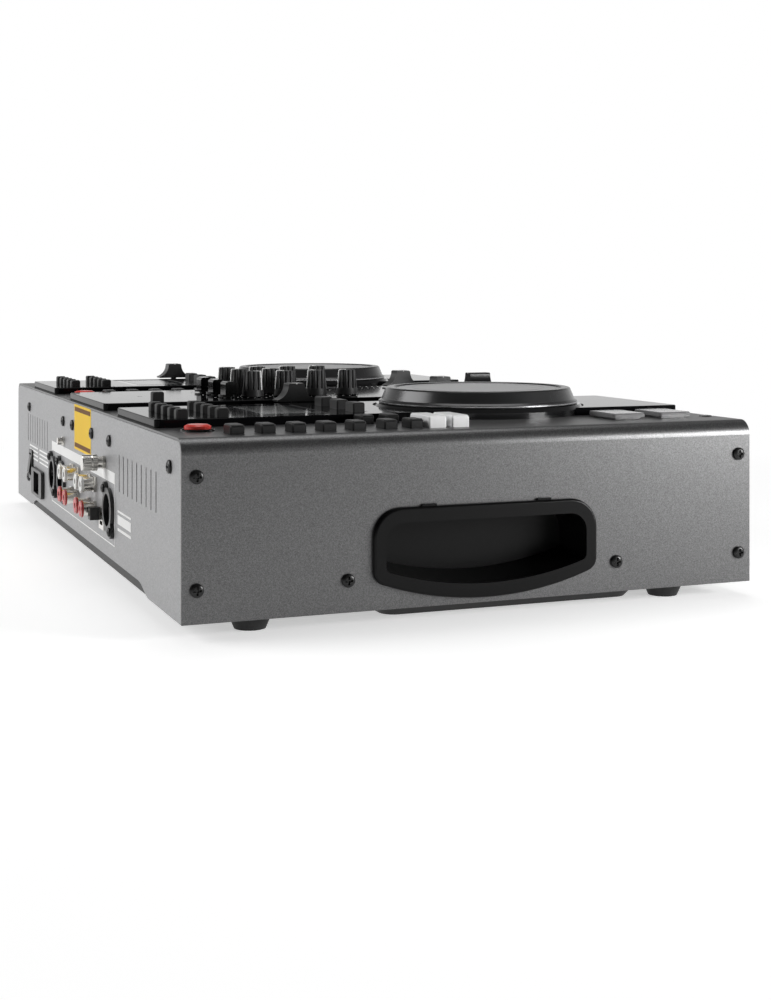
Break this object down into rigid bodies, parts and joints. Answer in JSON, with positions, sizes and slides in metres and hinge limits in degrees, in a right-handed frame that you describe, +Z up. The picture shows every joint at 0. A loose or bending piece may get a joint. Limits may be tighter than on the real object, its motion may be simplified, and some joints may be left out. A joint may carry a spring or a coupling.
{
  "type": "dual disc console",
  "caption": "Wide DJ console with disc trays at the front, jog wheels, a mixer with knobs and sliders, carry handles and rear sockets.",
  "frame": {"origin": "on the table, under the middle of the case", "axes": "+X to the user's right, +Y to the rear with the sockets, +Z up"},
  "size_m": [0.556, 0.3468, 0.1193],
  "materials": {
    "dark_paint": "metallic dark grey powder coat",
    "grey_paint": "metallic mid grey powder coat",
    "plain_steel": "plain zinc-plated sheet",
    "foot_rubber": "matt",
    "handle_plastic": "satin",
    "plate_gloss": "high gloss",
    "window_gloss": "smoked, high gloss",
    "jog_plastic": "satin",
    "connector_black": "satin",
    "connector_metal": "nickel plate",
    "screw_black": "black finish",
    "board_green": "printed board",
    "transformer_iron": "wound core with a cover",
    "drive_plastic": "moulded",
    "gear_plastic": "moulded",
    "spindle_metal": "turned",
    "key_rubber": "satin",
    "key_white": "frosted",
    "button_red": "clear red",
    "cap_plastic": "satin"
  },
  "bodies": {
    "console": {"top_cover": "dark_paint", "rear_panel": "grey_paint", "front_panel": "dark_paint", "bottom_plate": "plain_steel", "rubber_feet": "foot_rubber", "left_handle": "handle_plastic", "right_handle": "handle_plastic", "left_deck_plate": "plate_gloss", "mixer_plate": "plate_gloss", "right_deck_plate": "plate_gloss", "display_windows": "window_gloss", "jog_bases": "jog_plastic", "xlr_sockets": "connector_black", "rca_sockets": "connector_metal", "rear_ports": "connector_metal", "mains_inlet": "connector_black", "case_screws": "screw_black", "circuit_boards": "board_green", "power_supply": "transformer_iron", "drive_bases": "drive_plastic", "potentiometers": "plain_steel", "headphone_socket": "connector_black"},
    "left_jog_wheel": {"left_jog_wheel": "jog_plastic"},
    "left_tray": {"left_tray": "drive_plastic"},
    "left_tray_gear": {"left_tray_gear": "gear_plastic"},
    "left_spindle": {"left_spindle": "spindle_metal"},
    "left_pitch_fader": {"left_pitch_fader": "cap_plastic"},
    "left_channel_fader": {"left_channel_fader": "cap_plastic"},
    "left_red_button": {"left_red_button": "button_red"},
    "left_pads": {"left_pads": "key_rubber"},
    "left_side_keys": {"left_side_keys": "key_rubber"},
    "left_white_keys": {"left_white_keys": "key_white"},
    "left_deck_keys": {"left_deck_keys": "key_rubber"},
    "right_jog_wheel": {"right_jog_wheel": "jog_plastic"},
    "right_tray": {"right_tray": "drive_plastic"},
    "right_tray_gear": {"right_tray_gear": "gear_plastic"},
    "right_spindle": {"right_spindle": "spindle_metal"},
    "right_pitch_fader": {"right_pitch_fader": "cap_plastic"},
    "right_channel_fader": {"right_channel_fader": "cap_plastic"},
    "right_red_button": {"right_red_button": "button_red"},
    "right_pads": {"right_pads": "key_rubber"},
    "right_side_keys": {"right_side_keys": "key_rubber"},
    "right_white_keys": {"right_white_keys": "key_white"},
    "right_deck_keys": {"right_deck_keys": "key_rubber"},
    "crossfader": {"crossfader": "cap_plastic"},
    "mixer_button": {"mixer_button": "key_rubber"},
    "power_rocker": {"power_rocker": "connector_black"},
    "left_channel_gain_knob": {"left_channel_gain_knob": "cap_plastic"},
    "left_channel_treble_knob": {"left_channel_treble_knob": "cap_plastic"},
    "left_channel_middle_knob": {"left_channel_middle_knob": "cap_plastic"},
    "left_channel_bass_knob": {"left_channel_bass_knob": "cap_plastic"},
    "right_channel_gain_knob": {"right_channel_gain_knob": "cap_plastic"},
    "right_channel_treble_knob": {"right_channel_treble_knob": "cap_plastic"},
    "right_channel_middle_knob": {"right_channel_middle_knob": "cap_plastic"},
    "right_channel_bass_knob": {"right_channel_bass_knob": "cap_plastic"},
    "master_level_knob": {"master_level_knob": "cap_plastic"},
    "phones_level_knob": {"phones_level_knob": "cap_plastic"},
    "left_source_selector": {"left_source_selector": "cap_plastic"},
    "cue_selector": {"cue_selector": "cap_plastic"},
    "right_source_selector": {"right_source_selector": "cap_plastic"}
  },
  "joints": [
    {"name": "left_jog_spin", "type": "hinge", "parent": "console", "child": "left_jog_wheel", "pos_m": [-0.1585, -0.049, 0.104], "axis": [0, 0, 1], "continuous": true},
    {"name": "left_tray_slide", "type": "slide", "parent": "console", "child": "left_tray", "axis": [0, -1, 0], "range_m": [0, 0.14]},
    {"name": "left_tray_gear_turn", "type": "hinge", "parent": "console", "child": "left_tray_gear", "pos_m": [-0.08565, -0.139, 0.0395], "axis": [0, 0, 1], "range_deg": [-1, 1004]},
    {"name": "left_spindle_spin", "type": "hinge", "parent": "console", "child": "left_spindle", "pos_m": [-0.1585, -0.092, 0.039], "axis": [0, 0, 1], "continuous": true},
    {"name": "left_pitch_slide", "type": "slide", "parent": "console", "child": "left_pitch_fader", "axis": [0, 1, 0], "range_m": [-0.03, 0.03]},
    {"name": "left_channel_slide", "type": "slide", "parent": "console", "child": "left_channel_fader", "axis": [0, 1, 0], "range_m": [-0.0155, 0.0295]},
    {"name": "left_red_button_press", "type": "slide", "parent": "console", "child": "left_red_button", "axis": [0, 0, 1], "range_m": [-0.0008, 0], "stiffness_N_per_m": 300},
    {"name": "left_pads_press", "type": "slide", "parent": "console", "child": "left_pads", "axis": [0, 0, 1], "range_m": [-0.0008, 0], "stiffness_N_per_m": 600},
    {"name": "left_side_keys_press", "type": "slide", "parent": "console", "child": "left_side_keys", "axis": [0, 0, 1], "range_m": [-0.0008, 0], "stiffness_N_per_m": 600},
    {"name": "left_white_keys_press", "type": "slide", "parent": "console", "child": "left_white_keys", "axis": [0, 0, 1], "range_m": [-0.0008, 0], "stiffness_N_per_m": 400},
    {"name": "left_deck_keys_press", "type": "slide", "parent": "console", "child": "left_deck_keys", "axis": [0, 0, 1], "range_m": [-0.0008, 0], "stiffness_N_per_m": 600},
    {"name": "right_jog_spin", "type": "hinge", "parent": "console", "child": "right_jog_wheel", "pos_m": [0.1585, -0.049, 0.104], "axis": [0, 0, 1], "continuous": true},
    {"name": "right_tray_slide", "type": "slide", "parent": "console", "child": "right_tray", "axis": [0, -1, 0], "range_m": [0, 0.14]},
    {"name": "right_tray_gear_turn", "type": "hinge", "parent": "console", "child": "right_tray_gear", "pos_m": [0.23135, -0.139, 0.0395], "axis": [0, 0, 1], "range_deg": [-1, 1004]},
    {"name": "right_spindle_spin", "type": "hinge", "parent": "console", "child": "right_spindle", "pos_m": [0.1585, -0.092, 0.039], "axis": [0, 0, 1], "continuous": true},
    {"name": "right_pitch_slide", "type": "slide", "parent": "console", "child": "right_pitch_fader", "axis": [0, 1, 0], "range_m": [-0.03, 0.03]},
    {"name": "right_channel_slide", "type": "slide", "parent": "console", "child": "right_channel_fader", "axis": [0, 1, 0], "range_m": [-0.0075, 0.0375]},
    {"name": "right_red_button_press", "type": "slide", "parent": "console", "child": "right_red_button", "axis": [0, 0, 1], "range_m": [-0.0008, 0], "stiffness_N_per_m": 300},
    {"name": "right_pads_press", "type": "slide", "parent": "console", "child": "right_pads", "axis": [0, 0, 1], "range_m": [-0.0008, 0], "stiffness_N_per_m": 600},
    {"name": "right_side_keys_press", "type": "slide", "parent": "console", "child": "right_side_keys", "axis": [0, 0, 1], "range_m": [-0.0008, 0], "stiffness_N_per_m": 600},
    {"name": "right_white_keys_press", "type": "slide", "parent": "console", "child": "right_white_keys", "axis": [0, 0, 1], "range_m": [-0.0008, 0], "stiffness_N_per_m": 400},
    {"name": "right_deck_keys_press", "type": "slide", "parent": "console", "child": "right_deck_keys", "axis": [0, 0, 1], "range_m": [-0.0008, 0], "stiffness_N_per_m": 600},
    {"name": "crossfader_slide", "type": "slide", "parent": "console", "child": "crossfader", "axis": [1, 0, 0], "range_m": [-0.0165, 0.0285]},
    {"name": "mixer_button_press", "type": "slide", "parent": "console", "child": "mixer_button", "axis": [0, 0, 1], "range_m": [-0.0008, 0], "stiffness_N_per_m": 200},
    {"name": "left_channel_gain_turn", "type": "hinge", "parent": "console", "child": "left_channel_gain_knob", "pos_m": [-0.042, 0.0575, 0.1031], "axis": [0, 0, 1], "range_deg": [-270, 0]},
    {"name": "left_channel_treble_turn", "type": "hinge", "parent": "console", "child": "left_channel_treble_knob", "pos_m": [-0.042, 0.0358, 0.1031], "axis": [0, 0, 1], "range_deg": [-135, 135]},
    {"name": "left_channel_middle_turn", "type": "hinge", "parent": "console", "child": "left_channel_middle_knob", "pos_m": [-0.042, 0.0141, 0.1031], "axis": [0, 0, 1], "range_deg": [-135, 135]},
    {"name": "left_channel_bass_turn", "type": "hinge", "parent": "console", "child": "left_channel_bass_knob", "pos_m": [-0.042, -0.0076, 0.1031], "axis": [0, 0, 1], "range_deg": [-135, 135]},
    {"name": "right_channel_gain_turn", "type": "hinge", "parent": "console", "child": "right_channel_gain_knob", "pos_m": [0.02, 0.0575, 0.1031], "axis": [0, 0, 1], "range_deg": [-135, 135]},
    {"name": "right_channel_treble_turn", "type": "hinge", "parent": "console", "child": "right_channel_treble_knob", "pos_m": [0.02, 0.0358, 0.1031], "axis": [0, 0, 1], "range_deg": [-135, 135]},
    {"name": "right_channel_middle_turn", "type": "hinge", "parent": "console", "child": "right_channel_middle_knob", "pos_m": [0.02, 0.0141, 0.1031], "axis": [0, 0, 1], "range_deg": [-135, 135]},
    {"name": "right_channel_bass_turn", "type": "hinge", "parent": "console", "child": "right_channel_bass_knob", "pos_m": [0.02, -0.0076, 0.1031], "axis": [0, 0, 1], "range_deg": [-135, 135]},
    {"name": "master_level_turn", "type": "hinge", "parent": "console", "child": "master_level_knob", "pos_m": [-0.011, 0.0575, 0.1031], "axis": [0, 0, 1], "range_deg": [-135, 135]},
    {"name": "phones_level_turn", "type": "hinge", "parent": "console", "child": "phones_level_knob", "pos_m": [-0.011, 0.0358, 0.1031], "axis": [0, 0, 1], "range_deg": [-135, 135]},
    {"name": "left_source_selector_turn", "type": "hinge", "parent": "console", "child": "left_source_selector", "pos_m": [-0.042, 0.0738, 0.1031], "axis": [0, 0, 1], "range_deg": [-30, 30]},
    {"name": "cue_selector_turn", "type": "hinge", "parent": "console", "child": "cue_selector", "pos_m": [-0.011, 0.0738, 0.1031], "axis": [0, 0, 1], "range_deg": [-30, 30]},
    {"name": "right_source_selector_turn", "type": "hinge", "parent": "console", "child": "right_source_selector", "pos_m": [0.02, 0.0738, 0.1031], "axis": [0, 0, 1], "range_deg": [-30, 30]},
    {"name": "power_rocker_tip", "type": "hinge", "parent": "console", "child": "power_rocker", "pos_m": [0.2015, 0.16, 0.039], "axis": [1, 0, 0], "range_deg": [-16, 0]}
  ],
  "couplings": [
    {"joint": "left_tray_gear_turn", "follows": "left_tray_slide", "rad_per_m": 125},
    {"joint": "right_tray_gear_turn", "follows": "right_tray_slide", "rad_per_m": 125}
  ]
}
